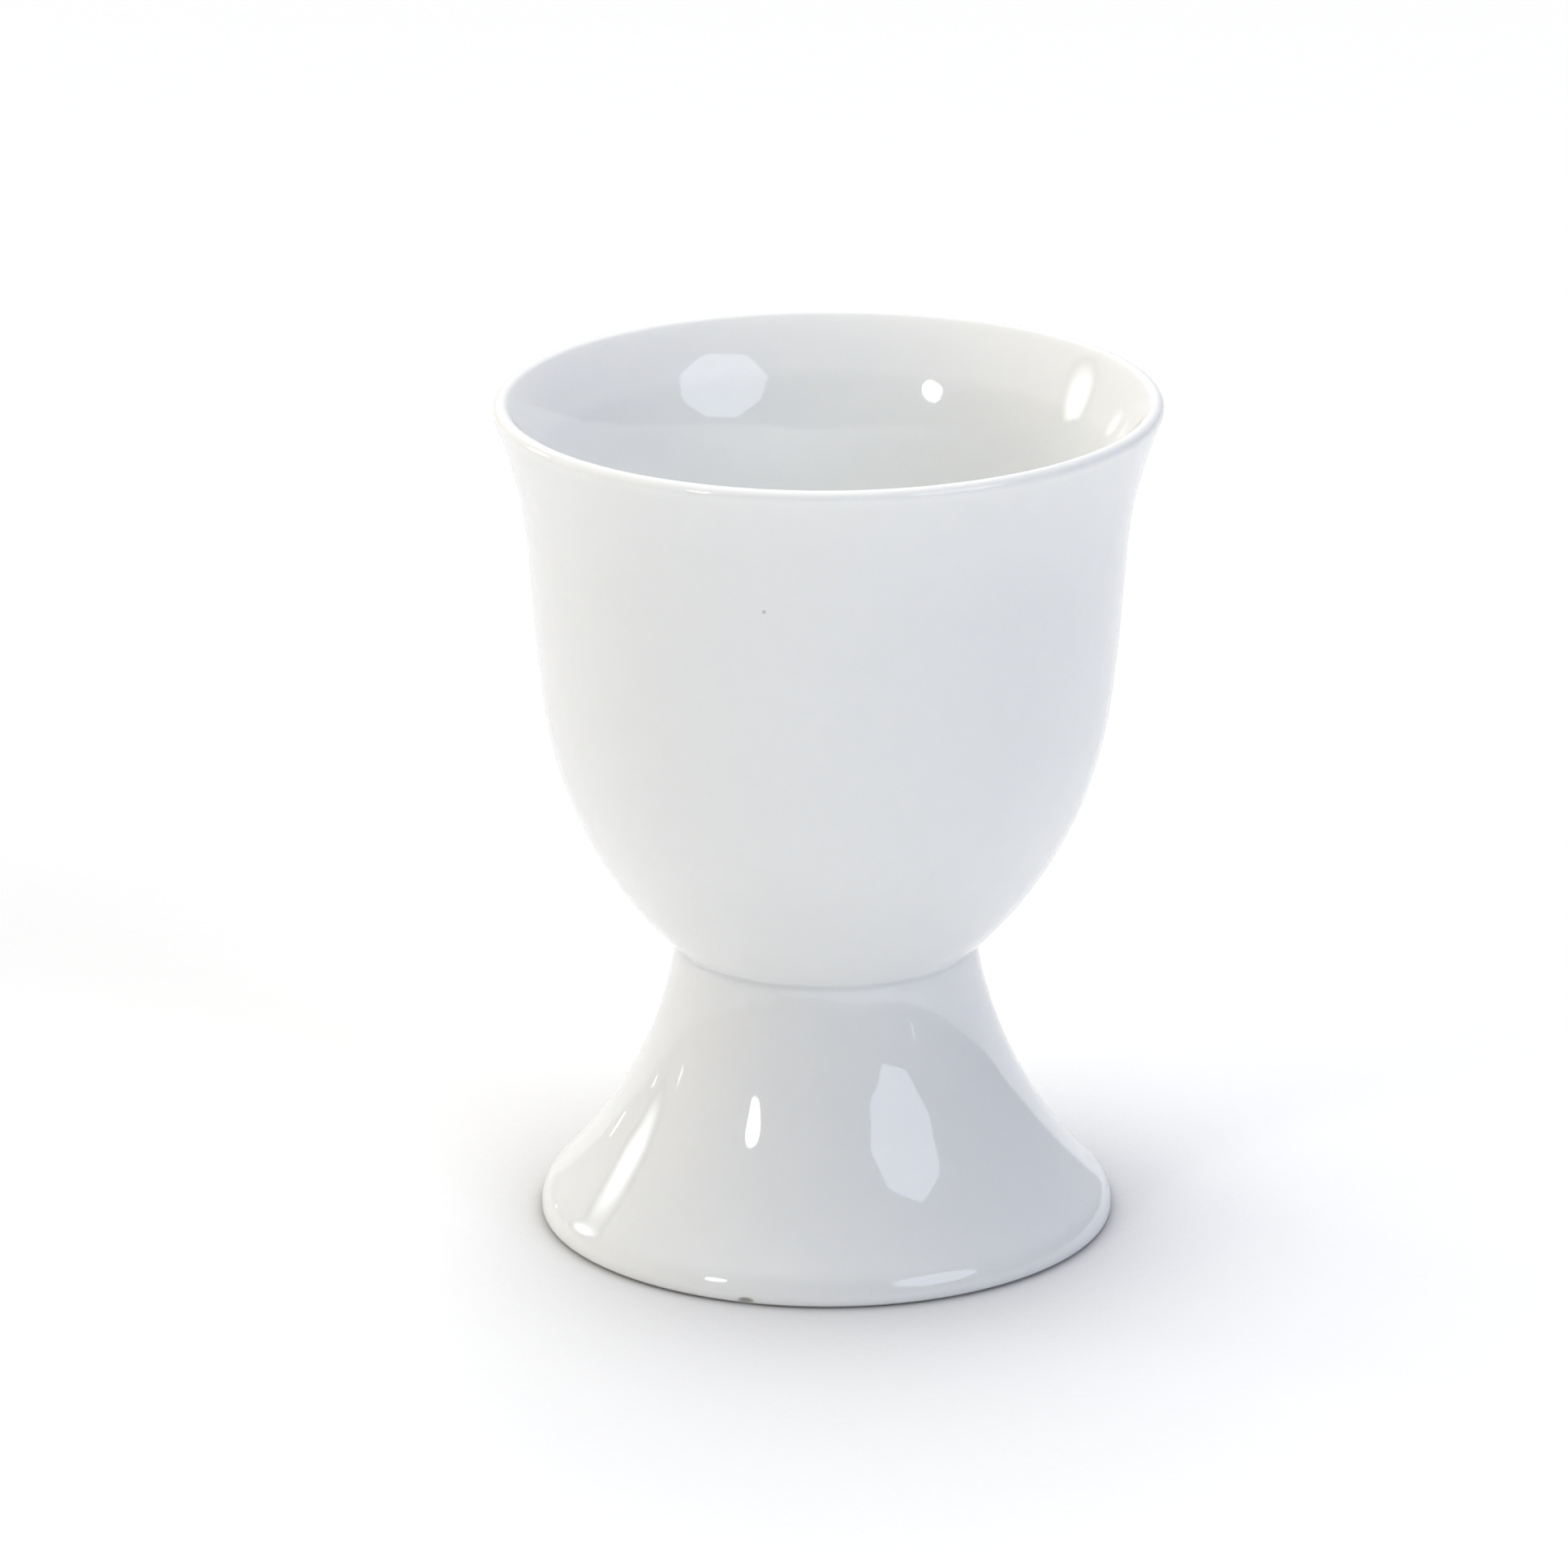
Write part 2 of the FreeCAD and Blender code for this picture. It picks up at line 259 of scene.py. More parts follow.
def foot_arcs():
    """The arcs of the bare foot: its outside from the neck down, then its well going up."""
    neck = point(half("neck_dia"), size("neck_height"))
    edge = point(FOOT_RADIUS - size("edge_radius"), size("toe_radius"))
    toe = point(FOOT_RADIUS - size("toe_radius"), size("toe_radius"))
    reach = size("flare_radius") + size("edge_radius")
    flare = where_circles_meet(
        edge, reach, neck, size("flare_radius"), point(2.0 * FOOT_RADIUS, CUP_HEIGHT / 2.0)
    )
    flare_end = edge + size("edge_radius") * towards(edge, flare)
    edge_end = toe + point(size("toe_radius"), 0.0)
    toe_end = toe - point(0.0, size("toe_radius"))

    inner_flare_radius = size("flare_radius") + size("foot_wall")
    inner_edge_radius = size("edge_radius") - size("foot_wall")
    inner_edge_start = edge + inner_edge_radius * towards(edge, flare)
    inner_edge_end = edge + point(inner_edge_radius, 0.0)
    heel = inner_edge_end + point(size("toe_radius"), 0.0)
    heel_start = heel - point(0.0, size("toe_radius"))

    corner_up = size("ledge_height") - size("corner_radius")
    corner_reach = inner_flare_radius + size("corner_radius")
    corner_across = flare[0] - math.sqrt(corner_reach**2 - (flare[1] - corner_up) ** 2)
    corner = point(corner_across, corner_up)
    corner_start = corner + size("corner_radius") * towards(corner, flare)
    corner_end = corner + point(0.0, size("corner_radius"))
    nose_across = half("ledge_bore") + size("nose_radius")
    nose = point(nose_across, size("ledge_height") + size("nose_radius"))
    nose_start = nose - point(0.0, size("nose_radius"))
    nose_end = nose - point(size("nose_radius"), 0.0)
    return {
        "flare": Arc(flare, size("flare_radius"), neck, flare_end, -1),
        "edge": Arc(edge, size("edge_radius"), flare_end, edge_end, 1),
        "toe": Arc(toe, size("toe_radius"), edge_end, toe_end, 1),
        "heel": Arc(heel, size("toe_radius"), heel_start, inner_edge_end, 1),
        "inner_edge": Arc(edge, inner_edge_radius, inner_edge_end, inner_edge_start, -1),
        "inner_flare": Arc(flare, inner_flare_radius, inner_edge_start, corner_start, 1),
        "corner": Arc(corner, size("corner_radius"), corner_start, corner_end, -1),
        "nose": Arc(nose, size("nose_radius"), nose_start, nose_end, 1),
    }


def at_height(arc, height, outward):
    """The point of an arc at a height. outward is 1 beyond the arc's centre, -1 on the axis side."""
    rise = height - arc.centre[1]
    return arc.centre + point(outward * math.sqrt(arc.radius**2 - rise**2), rise)


class Waist:
    """The joint of bowl and foot: the two beads of the slip and the places they touch."""

    def __init__(self, bowl, foot):
        glaze = size("glaze")
        ball = bowl["ball"]
        flare = foot["flare"]
        outer = where_circles_meet(
            ball.centre,
            ball.radius + glaze + size("waist_bead"),
            flare.centre,
            flare.radius - glaze - size("waist_bead"),
            point(half("hip_dia"), size("hip_height")),
        )
        self.ball_touch = ball.on(outer)
        self.flare_touch = flare.on(outer)
        self.outer_bead = Arc(
            outer,
            size("waist_bead"),
            flare.on(outer, glaze),
            ball.on(outer, glaze),
            -1,
        )
        bore = half("ledge_bore") - glaze
        inner_across = bore - size("well_bead")
        reach = ball.radius + glaze + size("well_bead")
        inner = ball.centre + point(inner_across, -math.sqrt(reach**2 - inner_across**2))
        self.inner_ball_touch = ball.on(inner)
        self.bore_touch = point(half("ledge_bore"), inner[1])
        self.inner_bead = Arc(
            inner,
            size("well_bead"),
            ball.on(inner, glaze),
            point(bore, inner[1]),
            -1,
        )
        seat_radius = ball.radius + size("slip_gap")
        drop = math.sqrt(seat_radius**2 - half("ledge_bore") ** 2)
        self.seat_inside = ball.centre + point(half("ledge_bore"), -drop)
        self.seat_outside = where_circles_meet(
            ball.centre, seat_radius, flare.centre, flare.radius, outer
        )
        self.seat = Arc(ball.centre, seat_radius, self.seat_outside, self.seat_inside, 1)


# ---------------------------------------------------------------- the finished outlines


def bowl_outline(bowl, waist):
    """The closed outline of the glazed bowl, from the axis below it to the axis above its floor."""
    glaze = size("glaze")
    ball = bowl["ball"]
    under = ball.points(glaze, end=waist.inner_ball_touch)
    joint = ball.points(start=waist.inner_ball_touch, end=waist.ball_touch)
    parts = [under, joint, ball.points(glaze, start=waist.ball_touch)]
    for name in list(bowl)[1:]:
        parts.append(bowl[name].points(glaze))
    return joined(*parts)


def foot_outline(foot, waist):
    """The closed outline of the foot: glazed down to the wiped ring, bare under it."""
    glaze = size("glaze")
    wiped = size("wiped_height")
    toe = foot["toe"]
    heel = foot["heel"]
    bare_toe = at_height(toe, wiped, 1)
    bare_heel = at_height(heel, wiped, -1)
    bore = half("ledge_bore") - glaze
    parts = [
        foot["flare"].points(glaze, start=waist.flare_touch),
        foot["edge"].points(glaze),
        toe.points(glaze, end=bare_toe),
        toe.points(start=bare_toe),
        straight(toe.end, heel.start),
        heel.points(end=bare_heel),
        heel.points(glaze, start=bare_heel),
        foot["inner_edge"].points(glaze),
        foot["inner_flare"].points(glaze),
        foot["corner"].points(glaze),
        foot["nose"].points(glaze),
        straight(
            point(bore, foot["nose"].centre[1]),
            point(bore, waist.bore_touch[1]),
        ),
        straight(waist.bore_touch, waist.seat_inside),
        waist.seat.points(start=waist.seat_inside, end=waist.seat_outside),
        foot["flare"].points(start=waist.seat_outside, end=waist.flare_touch),
    ]
    return joined(*parts)[::-1]


def slip_outline(bowl, foot, waist):
    """The closed outline of the luting slip: a thin dish with a bead at each edge."""
    ball = bowl["ball"]
    parts = [
        waist.outer_bead.points(),
        ball.points(start=waist.ball_touch, end=waist.inner_ball_touch),
        waist.inner_bead.points(),
        straight(waist.bore_touch, waist.seat_inside),
        waist.seat.points(start=waist.seat_inside, end=waist.seat_outside),
        foot["flare"].points(start=waist.seat_outside, end=waist.flare_touch),
    ]
    return joined(*parts)


# ---------------------------------------------------------------- turning and unevenness

# in mm at the rim: how far the cup leans, how oval it is and how far the lip tips up on one side
WARP = {
    "lean": 0.16,
    "oval": 0.07,
    "oval_turn": math.radians(35.0),
    "tip": 0.1,
    "tip_turn": math.radians(50.0),
}

# each wave of the surface: height in mm, waves round the cup, length up the cup in mm, start
WAVES = (
    (0.012, 5, 26.0, 0.7),
    (0.010, 8, 19.0, 2.1),
    (0.006, 13, 12.5, 4.0),
    (0.004, 19, 8.0, 5.3),
)
WAVE_TWIST = 1.7

# the waves die out within this radius and below this height, in mm
CALM_RADIUS = 4.0
CALM_HEIGHT = 1.5

# a nick in the lower edge of the glaze: its middle, half its width and height, and its depth, in mm,
# and how far it fades out, in times its size
NICK_PLACE = (-6.0, -20.95, 0.38)
NICK_WIDTH = 0.8
NICK_HEIGHT = 0.32
NICK_DEPTH = 0.13
NICK_FADE = 1.2


def nicked(points):
    """Points pressed in where a chip of the glaze is missing at the front of the foot."""
    gap = (points - np.array(NICK_PLACE)) / (NICK_WIDTH, NICK_WIDTH, NICK_HEIGHT)
    share = np.clip(NICK_FADE - np.linalg.norm(gap, axis=1), 0.0, 1.0)
    across = np.hypot(points[:, 0], points[:, 1]).clip(min=AXIS_GUARD)
    pressed = points.copy()
    pressed[:, :2] *= (1.0 - NICK_DEPTH * share / across)[:, None]
    return pressed


def uneven(points):
    """Moves points as the kiln and the mould do: a slight lean, an oval rim and soft waves."""
    moved = points.copy()
    turn = np.arctan2(points[:, 1], points[:, 0])
    across = np.hypot(points[:, 0], points[:, 1])
    share = np.clip(points[:, 2] / CUP_HEIGHT, 0.0, 1.0)
    swell = WARP["oval"] * share**3 * np.cos(2.0 * (turn - WARP["oval_turn"]))
    for height, around, length, start in WAVES:
        phase = 2.0 * math.pi * points[:, 2] / length + start
        twist = np.sin(phase * WAVE_TWIST + around)
        swell = swell + height * np.sin(around * turn + phase) * twist
    calm = np.clip(across / CALM_RADIUS, 0.0, 1.0) * np.clip(points[:, 2] / CALM_HEIGHT, 0.0, 1.0)
    swell = swell * calm
    moved[:, 0] += swell * np.cos(turn) + WARP["lean"] * share**2
    moved[:, 1] += swell * np.sin(turn)
    moved[:, 2] += WARP["tip"] * share**4 * np.cos(turn - WARP["tip_turn"]) * calm
    return moved


def turned(name, outline, on_axis):
    """A closed mesh from an outline turned round the axis. on_axis says it starts and ends there."""
    ring = outline
    if on_axis:
        ring = outline[1:-1]
    elif closes(outline):
        ring = outline[:-1]
    count = len(ring)
    rows = count - 1 if on_axis else count
    turns = np.arange(SEGMENTS) * 2.0 * math.pi / SEGMENTS
    across = np.outer(np.cos(turns), ring[:, 0])
    along = np.outer(np.sin(turns), ring[:, 0])
    up = np.tile(ring[:, 1], (SEGMENTS, 1))
    points = np.stack([across, along, up], axis=2).reshape(-1, 3)
    faces = []
    for segment in range(SEGMENTS):
        here = segment * count
        there = ((segment + 1) % SEGMENTS) * count
        for row in range(rows):
            above = (row + 1) % count
            faces.append((here + row, there + row, there + above, here + above))
    if on_axis:
        bottom = len(points)
        ends = [[0.0, 0.0, outline[0][1]], [0.0, 0.0, outline[-1][1]]]
        points = np.concatenate([points, ends])
        for segment in range(SEGMENTS):
            here = segment * count
            there = ((segment + 1) % SEGMENTS) * count
            faces.append((bottom, there, here))
            faces.append((bottom + 1, here + count - 1, there + count - 1))
    return solid(name, nicked(uneven(points)) * MM, faces)


def closes(outline):
    """Whether an outline ends where it starts."""
    return math.hypot(*(outline[0] - outline[-1])) < CLOSING_GAP


def solid(name, points, faces):
    """A smooth-shaded object from points in metres and faces."""
    mesh = bpy.data.meshes.new(name)
    mesh.from_pydata(points.tolist(), [], faces)
    mesh.validate()
    mesh.shade_smooth()
    mesh.set_sharp_from_angle(angle=SHARP_EDGE)
    made = bpy.data.objects.new(name, mesh)
    bpy.context.scene.collection.objects.link(made)
    return made


# ---------------------------------------------------------------- materials


class Nodes:
    """A short way to write the nodes of a new material or world."""

    def __init__(self, owner):
        owner.use_nodes = True
        self.owner = owner
        self.tree = owner.node_tree
        self.tree.nodes.clear()

    def add(self, kind, settings=None, **inputs):
        """Adds a node, with its settings and its inputs by name (spaces written as _)."""
        node = self.tree.nodes.new(kind)
        for key, value in (settings or {}).items():
            setattr(node, key, value)
        for key, value in inputs.items():
            self.put(node, key.replace("_", " "), value)
        return node

    def put(self, node, key, value):
        """Sets or links one input."""
        slot = node.inputs[key]
        if isinstance(value, bpy.types.NodeSocket):
            self.tree.links.new(value, slot)
        else:
            slot.default_value = value

    def maths(self, operation, first, second):
        """A sum, product or other operation on two values."""
        node = self.add("ShaderNodeMath", {"operation": operation})
        self.put(node, 0, first)
        self.put(node, 1, second)
        return node.outputs[0]

    def vector_maths(self, operation, first, second):
        """An operation on two vectors, as a node with a vector and a value output."""
        node = self.add("ShaderNodeVectorMath", {"operation": operation})
        self.put(node, 0, first)
        self.put(node, 1, second)
        return node

    def length(self, vector):
        """How long a vector is."""
        node = self.add("ShaderNodeVectorMath", {"operation": "LENGTH"})
        self.put(node, 0, vector)
        return node.outputs["Value"]

    def scaled(self, vector, factor):
        """A vector or colour times a value."""
        node = self.add("ShaderNodeVectorMath", {"operation": "SCALE"}, Scale=factor)
        self.put(node, 0, vector)
        return node.outputs[0]

    def grey(self, value):
        """A grey from a value."""
        return self.add("ShaderNodeCombineColor", Red=value, Green=value, Blue=value).outputs[0]

    def stretch(self, value, low, high, new_low=0.0, new_high=1.0):
        """Maps a value from one range to another, clamped and eased."""
        return self.add(
            "ShaderNodeMapRange",
            {"interpolation_type": "SMOOTHSTEP"},
            Value=value,
            From_Min=low,
            From_Max=high,
            To_Min=new_low,
            To_Max=new_high,
        ).outputs["Result"]

    def blend(self, share, first, second, kind="MIX"):
        """Mixes two colours. The mix node keeps its colour sockets at places 6 and 7."""
        node = self.add("ShaderNodeMix", {"data_type": "RGBA", "blend_type": kind})
        self.put(node, 0, share)
        self.put(node, 6, first)
        self.put(node, 7, second)
        return node.outputs[2]

    def choose(self, share, first, second):
        """A mix of two shaders."""
        node = self.add("ShaderNodeMixShader")
        self.put(node, 0, share)
        self.put(node, 1, first.outputs[0])
        self.put(node, 2, second.outputs[0])
        return node

    def bumped(self, height, strength, distance):
        """A bump node; distance is in metres."""
        return self.add("ShaderNodeBump", Height=height, Strength=strength, Distance=distance)

    def noise(self, where, scale, detail=2.0, roughness=0.5):
        """Soft procedural noise from 0 to 1."""
        return self.add(
            "ShaderNodeTexNoise", Vector=where, Scale=scale, Detail=detail, Roughness=roughness
        ).outputs["Fac"]

    def finished(self, shader, output="ShaderNodeOutputMaterial"):
        """Joins a shader to the output and gives back the material or world."""
        node = self.add(output)
        self.put(node, "Surface", shader.outputs[0])
        return self.owner


# colours of the clay and the glaze over it
PORCELAIN = (0.85, 0.86, 0.855, 1.0)
POOLED = (0.77, 0.81, 0.80, 1.0)
# the thin-glaze colour also serves as painted light in the waist crease, inside the rim and on walls
# that face the axis
THIN_GLAZE_AND_PAINTED_LIGHT = (0.965, 0.97, 0.95, 1.0)
SPECK = (0.60, 0.58, 0.53, 1.0)
# the dark of the nick is painted shade
NICK_SHADE = (0.38, 0.37, 0.35, 1.0)
BISCUIT = (0.87, 0.86, 0.83, 1.0)
GRIME = (0.40, 0.38, 0.35, 1.0)

# how much the glaze and the bare clay bend light
GLAZE_IOR = 1.5
CLAY_IOR = 1.45

# the share of the light that spreads in the clay, how far each colour of it does, and the scale
# of that reach in metres
SPREAD_SHARE = 0.3
SPREAD_RADIUS = (1.0, 0.85, 0.7)
SPREAD_SCALE = 0.0009

# depths of the bumps, in metres: slow swells and orange peel in the glaze, grain in bare clay
SWELL_DEPTH = 0.00004
PEEL_DEPTH = 0.000002
GRAIN_DEPTH = 0.00003
GRAIN_STRENGTH = 0.6

# noise scales, in cells per metre
CLOUD_SCALE = 55.0
SWELL_SCALE = 120.0
SOIL_SCALE = 260.0
MOTTLE_SCALE = 420.0
PEEL_SCALE = 900.0
FIBRE_SCALE = 1500.0
GRAIN_SCALE = 3800.0

# each speck: x, y and z of its middle and its radius, in mm
SPECKS = (
    (-4.5, -22.1, 54.45, 0.22),
    (9.4, 19.6, 47.0, 0.16),
    (-17.6, 3.1, 5.6, 0.15),
    (15.9, 13.0, 33.5, 0.12),
)

# share of their size inside which a speck has its full colour and the nick its full painted shade
SPECK_CORE = 0.35
NICK_CORE = 0.4


def speck_mask(nodes, where):
    """0 to 1: the few iron specks that show through the glaze."""
    total = 0.0
    for across, along, up, radius in SPECKS:
        gap = nodes.vector_maths("DISTANCE", where, Vector((across, along, up)) * MM)
        spot = nodes.stretch(gap.outputs["Value"], radius * MM, radius * SPECK_CORE * MM)
        total = nodes.maths("MAXIMUM", total, spot)
    return total


def nick_shade_mask(nodes, where):
    """0 to 1: the painted shade in the nick in the lower edge of the glaze, wider than it is high."""
    gap = nodes.vector_maths("SUBTRACT", where, Vector(NICK_PLACE) * MM)
    squeeze = Vector((1.0, 1.0, NICK_WIDTH / NICK_HEIGHT))
    distance = nodes.length(nodes.vector_maths("MULTIPLY", gap.outputs[0], squeeze).outputs[0])
    return nodes.stretch(distance, NICK_WIDTH * MM, NICK_WIDTH * NICK_CORE * MM)


def porcelain_under_glaze_with_painted_light(name):
    """White porcelain under a clear, very slightly blue-green glaze, with painted light where the
    glaze is marked thin.
    """
    nodes = Nodes(bpy.data.materials.new(name))
    where = nodes.add("ShaderNodeTexCoord").outputs["Object"]
    cloud = nodes.noise(where, CLOUD_SCALE, 3.0, 0.55)
    mottle = nodes.noise(where, MOTTLE_SCALE, 3.0, 0.6)
    depth = nodes.add("ShaderNodeAttribute", {"attribute_name": "glaze_depth_with_painted_light"}).outputs["Fac"]
    depth = nodes.maths("ADD", depth, nodes.stretch(cloud, 0.3, 0.7, -0.05, 0.05))
    body = nodes.blend(nodes.stretch(depth, 0.0, 1.0), PORCELAIN, POOLED)
    # lighter where the glaze is marked thin: in part thin glaze, in part painted light
    body = nodes.blend(nodes.stretch(depth, 0.0, -1.0), body, THIN_GLAZE_AND_PAINTED_LIGHT)
    shade = nodes.grey(nodes.stretch(mottle, 0.3, 0.7, 0.99, 1.0))
    body = nodes.blend(1.0, body, shade, "MULTIPLY")
    body = nodes.blend(speck_mask(nodes, where), body, SPECK)
    # painted shade: the nick is painted dark
    body = nodes.blend(nick_shade_mask(nodes, where), body, NICK_SHADE)

    swell = nodes.bumped(nodes.noise(where, SWELL_SCALE, 1.0), 1.0, SWELL_DEPTH)
    peel = nodes.bumped(nodes.noise(where, PEEL_SCALE), 1.0, PEEL_DEPTH)
    nodes.put(peel, "Normal", swell.outputs[0])

    gloss = nodes.stretch(cloud, 0.25, 0.75, 0.025, 0.045)
    shader = nodes.add(
        "ShaderNodeBsdfPrincipled",
        {"subsurface_method": "RANDOM_WALK"},
        Base_Color=body,
        Roughness=gloss,
        IOR=GLAZE_IOR,
        Normal=peel.outputs[0],
        Subsurface_Weight=SPREAD_SHARE,
        Subsurface_Radius=SPREAD_RADIUS,
        Subsurface_Scale=SPREAD_SCALE,
    )
    return nodes.finished(shader)


def bare_porcelain(name):
    """The wiped ring under the foot: dry, fine-grained fired clay, a little rubbed and soiled."""
    nodes = Nodes(bpy.data.materials.new(name))
    where = nodes.add("ShaderNodeTexCoord").outputs["Object"]
    grain = nodes.noise(where, GRAIN_SCALE, 4.0, 0.65)
    soil = nodes.noise(where, SOIL_SCALE, 4.0, 0.6)
    body = nodes.blend(nodes.stretch(soil, 0.52, 0.78, 0.0, 0.35), BISCUIT, GRIME)
    body = nodes.blend(nodes.stretch(grain, 0.35, 0.7, 0.0, 0.12), body, GRIME)
    shader = nodes.add(
        "ShaderNodeBsdfPrincipled",
        Base_Color=body,
        Roughness=nodes.stretch(grain, 0.3, 0.7, 0.75, 0.95),
        IOR=CLAY_IOR,
        Normal=nodes.bumped(grain, GRAIN_STRENGTH, GRAIN_DEPTH).outputs[0],
    )
    return nodes.finished(shader)


# ---------------------------------------------------------------- the cup

# bands of the finished surface where glaze pools (above 0), or runs thin or has painted light (below
# 0):
# radius and height of the middle of the band, its reach in mm and its depth
GLAZE_AND_PAINTED_LIGHT_BANDS = (
    # painted light: the waist crease is made lighter, against the shade that gathers in it
    (11.7, 21.75, 0.5, -0.5),
    (9.2, 17.6, 1.6, 0.8),
    (7.5, 18.9, 0.8, 0.9),
    # the glaze thins over the lip, and the lighter band down the inside of the rim is painted light
    (24.4, 63.9, 0.8, -0.7),
    (23.3, 63.2, 0.8, -0.7),
    (22.5, 62.0, 1.0, -0.8),
    (21.8, 60.8, 0.9, -0.4),
    (0.0, 20.6, 7.0, 0.5),
    # lighter on the foot's lower edge, just above the wiped ring
    (21.6, 0.8, 0.9, -0.6),
)

# painted light: how much lighter, as thin glaze, walls that face the axis are made; outward is 1
# on a wall that faces away from it and -1 on one that faces it, and it is full below INWARD_FULL
INSIDE_PAINTED_LIGHT = 0.5
INWARD_START = 1.0 / 3.0
INWARD_FULL = -1.0 / 3.0

# how far above the wiped height, in mm, a bare face may still reach
WIPED_MARGIN = 0.01


def store_glaze_and_painted_light(made):
    """Stores how deep the glaze lies at each point, from the bands where it pools or thins, with
    painted light in it as thinner glaze.
    """
    mesh = made.data
    places = np.zeros(len(mesh.vertices) * 3, np.float32)
    mesh.vertices.foreach_get("co", places)
    places = places.reshape(-1, 3) / MM
    across = np.hypot(places[:, 0], places[:, 1])
    depth = np.zeros(len(places), np.float32)
    for middle, height, reach, amount in GLAZE_AND_PAINTED_LIGHT_BANDS:
        gap = np.hypot(across - middle, places[:, 2] - height) / reach
        depth += (amount * np.exp(-(gap**2))).astype(np.float32)
    normals = np.zeros(len(mesh.vertices) * 3, np.float32)
    mesh.vertex_normals.foreach_get("vector", normals)
    normals = normals.reshape(-1, 3)
    outward = (normals[:, :2] * places[:, :2]).sum(axis=1) / across.clip(min=AXIS_GUARD)
    inward = (INWARD_START - outward) / (INWARD_START - INWARD_FULL)
    # painted light: walls that face the axis are painted lighter
    depth -= INSIDE_PAINTED_LIGHT * np.clip(inward, 0.0, 1.0)
    mesh.attributes.new("glaze_depth_with_painted_light", "FLOAT", "POINT").data.foreach_set("value", depth)


def mark_bare_ring(made):
    """Gives the faces below the wiped height the second material."""
    limit = (size("wiped_height") + WIPED_MARGIN) * MM
    for face in made.data.polygons:
        if all(made.data.vertices[index].co.z < limit for index in face.vertices):
            face.material_index = 1


def make_cup():
    """Builds the three pieces of the cup and hides the CAD nodes they stand for."""
    bowl = bowl_arcs()
    foot = foot_arcs()
    waist = Waist(bowl, foot)
    glazed = porcelain_under_glaze_with_painted_light("porcelain_under_glaze_with_painted_light")
    bare = bare_porcelain("bare_porcelain")
    bowl_piece = turned("bowl_glazed", bowl_outline(bowl, waist), True)
    foot_piece = turned("foot_glazed", foot_outline(foot, waist), False)
    slip_piece = turned("luting_slip_glazed", slip_outline(bowl, foot, waist), False)
    for made in (bowl_piece, foot_piece, slip_piece):
        made.data.materials.append(glazed)
        store_glaze_and_painted_light(made)
        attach(made, BODY)
    foot_piece.data.materials.append(bare)
    mark_bare_ring(foot_piece)
    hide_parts("bowl", "glaze_coat")
    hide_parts("foot", "glaze_coat", "foot_well_glaze")
    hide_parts("luting_slip")


# ---------------------------------------------------------------- stage, light and camera

CAMERA_PLACE = Vector((0.0, -0.6009, 0.23465))
CAMERA_PITCH = math.radians(18.47)
CAMERA_YAW = math.radians(-0.305)
CAMERA_ROLL = math.radians(-0.1)
CAMERA_LENS = 192.4
SENSOR_WIDTH = 36.0
NEAREST_SEEN = 0.05
FARTHEST_SEEN = 50.0

# the paper: its size in metres, and the soft shadow painted on it round the foot
FLOOR_RADIUS = 6.0
FLOOR_SIDES = 96
CONTACT_REACH = 0.022
CONTACT_DEPTH = 1.05
CONTACT_SAMPLES = 16
DEEPEST_SHADE = 0.62

# how bright the white behind the cup is for the camera
BACKDROP_STRENGTH = 1.2

WHITE = (1.0, 1.0, 1.0)
GREENISH = (0.97, 1.0, 0.91)
WARM = (1.0, 0.83, 0.7)
COOL = (0.6, 0.9, 1.0)
BLUE = (0.0, 0.0, 1.0)

# soft light from all round: name, azimuth and elevation in degrees, sharpness, strength, tint
SOFT_LIGHTS = (
    ("ceiling", 0.0, 90.0, 16.0, 1.6, GREENISH),
    ("high_front", 180.0, 65.0, 30.0, 0.15, BLUE),
    ("high_left", -110.0, 65.0, 30.0, 0.55, WARM),
    ("high_back", 0.0, 65.0, 30.0, 1.1, WHITE),
    ("back", 0.0, 45.0, 12.0, 0.8, WHITE),
    ("right", 60.0, 45.0, 12.0, 0.15, BLUE),
    ("front_left", -120.0, 45.0, 12.0, 0.2, COOL),
    ("left", -60.0, 45.0, 12.0, 0.1, WHITE),
    ("low_back", 0.0, 12.0, 8.0, 0.6, WHITE),
    ("low_left", -90.0, 12.0, 8.0, 0.8, WARM),
    ("low_back_left", -45.0, 12.0, 8.0, 0.25, WHITE),
)

# lamps seen in the glaze: name, azimuth, elevation, half the width and half the height in degrees,
# number of sides, share of the panel that fades towards its edge, strength, colour
LAMPS = (
    ("umbrella", 133.0, 29.0, 18.0, 16.0, 8, 0.0, 3.3, (0.84, 0.9, 1.05)),
    ("spot", -134.0, 26.5, 4.3, 6.0, 24, 0.15, 16.0, (1.0, 1.0, 0.97)),
    ("side_lamp", -62.0, 17.0, 9.0, 13.0, 24, 0.9, 7.0, (1.0, 1.0, 0.96)),
    ("far_lamp_1", -75.8, 7.2, 1.2, 1.9, 12, 0.3, 5.0, (1.0, 1.0, 0.97)),
    ("far_lamp_2", -41.0, 2.6, 1.2, 1.2, 12, 0.3, 6.0, (1.0, 1.0, 0.97)),
    ("far_lamp_3", -55.0, 2.2, 1.0, 1.0, 12, 0.3, 6.0, (1.0, 1.0, 0.97)),
    ("far_lamp_4", 119.0, 4.3, 1.2, 1.8, 12, 0.3, 3.0, (0.9, 0.95, 1.0)),
)
LAMP_DISTANCE = 1.6
LOOK_AT = Vector((0.0, 0.0, 0.03))


def direction(azimuth, elevation):
    """The unit vector towards an azimuth (0 is +Y, 90 is +X) and an elevation, in degrees."""
    turn = math.radians(azimuth)
    rise = math.radians(elevation)
    return Vector((
        math.sin(turn) * math.cos(rise),
        math.cos(turn) * math.cos(rise),
        math.sin(rise),
    ))


